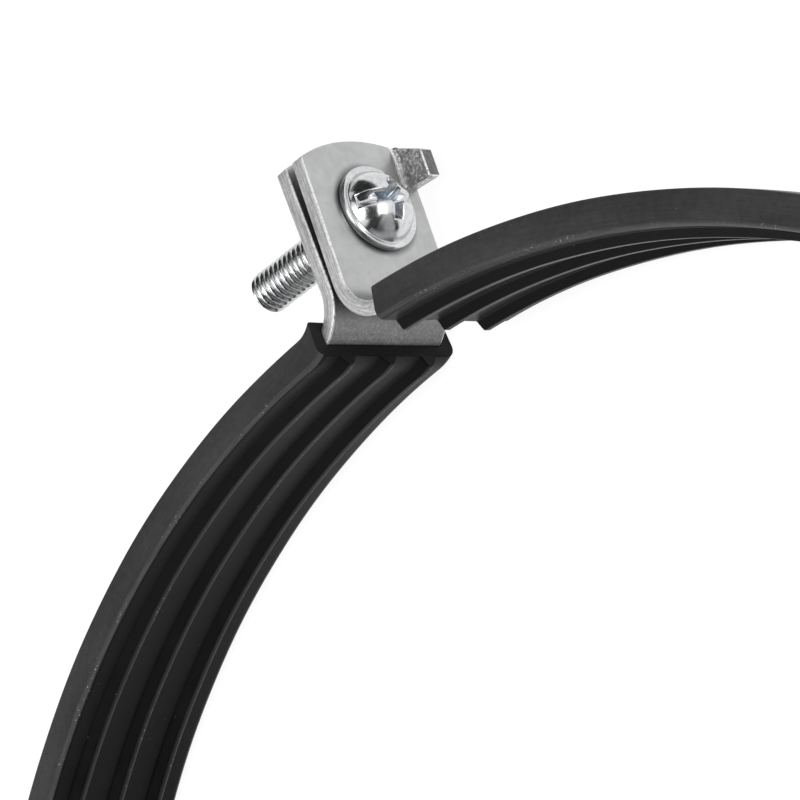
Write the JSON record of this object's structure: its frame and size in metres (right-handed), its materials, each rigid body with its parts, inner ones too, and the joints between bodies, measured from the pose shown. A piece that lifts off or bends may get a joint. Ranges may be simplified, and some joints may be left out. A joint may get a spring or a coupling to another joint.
{
  "type": "rubber lined pipe clamp",
  "caption": "Two-piece steel pipe clamp ring with a ribbed rubber lining, bolted together at flat ears, with a welded threaded nut for hanging it",
  "frame": {"origin": "centre of the pipe seat, halfway across the band", "axes": "Z runs along the pipe, X points from one screwed joint to the other, and +Y points from the half with the threaded ears to the half under the screw heads; the clamp lies on its side, on the -Z faces of its lining"},
  "size_m": [0.3096, 0.2703, 0.024],
  "materials": {
    "band_steel": "satin zinc plating with sheared edges",
    "lining_rubber": "matt black extruded rubber",
    "screw_steel": "bright zinc plating"
  },
  "bodies": {
    "lower_half": {"lower_band": "band_steel", "lower_lining": "lining_rubber", "connection_nut": "band_steel"},
    "upper_half": {"upper_band": "band_steel", "upper_lining": "lining_rubber"},
    "left_screw": {"left_screw": "screw_steel"},
    "right_screw": {"right_screw": "screw_steel"}
  },
  "joints": [
    {"name": "upper_half_lift", "type": "slide", "parent": "lower_half", "child": "upper_half", "axis": [0, 1, 0], "range_m": [0, 0.018]},
    {"name": "left_screw_turn", "type": "hinge", "parent": "upper_half", "child": "left_screw", "pos_m": [-0.1446, 0.00215, 0], "axis": [0, 1, 0], "range_deg": [0, 6480]},
    {"name": "right_screw_turn", "type": "hinge", "parent": "upper_half", "child": "right_screw", "pos_m": [0.1446, 0.00215, 0], "axis": [0, 1, 0], "range_deg": [0, 6480]}
  ],
  "couplings": [
    {"joint": "left_screw_turn", "follows": "upper_half_lift", "rad_per_m": 6283.2},
    {"joint": "right_screw_turn", "follows": "upper_half_lift", "rad_per_m": 6283.2}
  ]
}
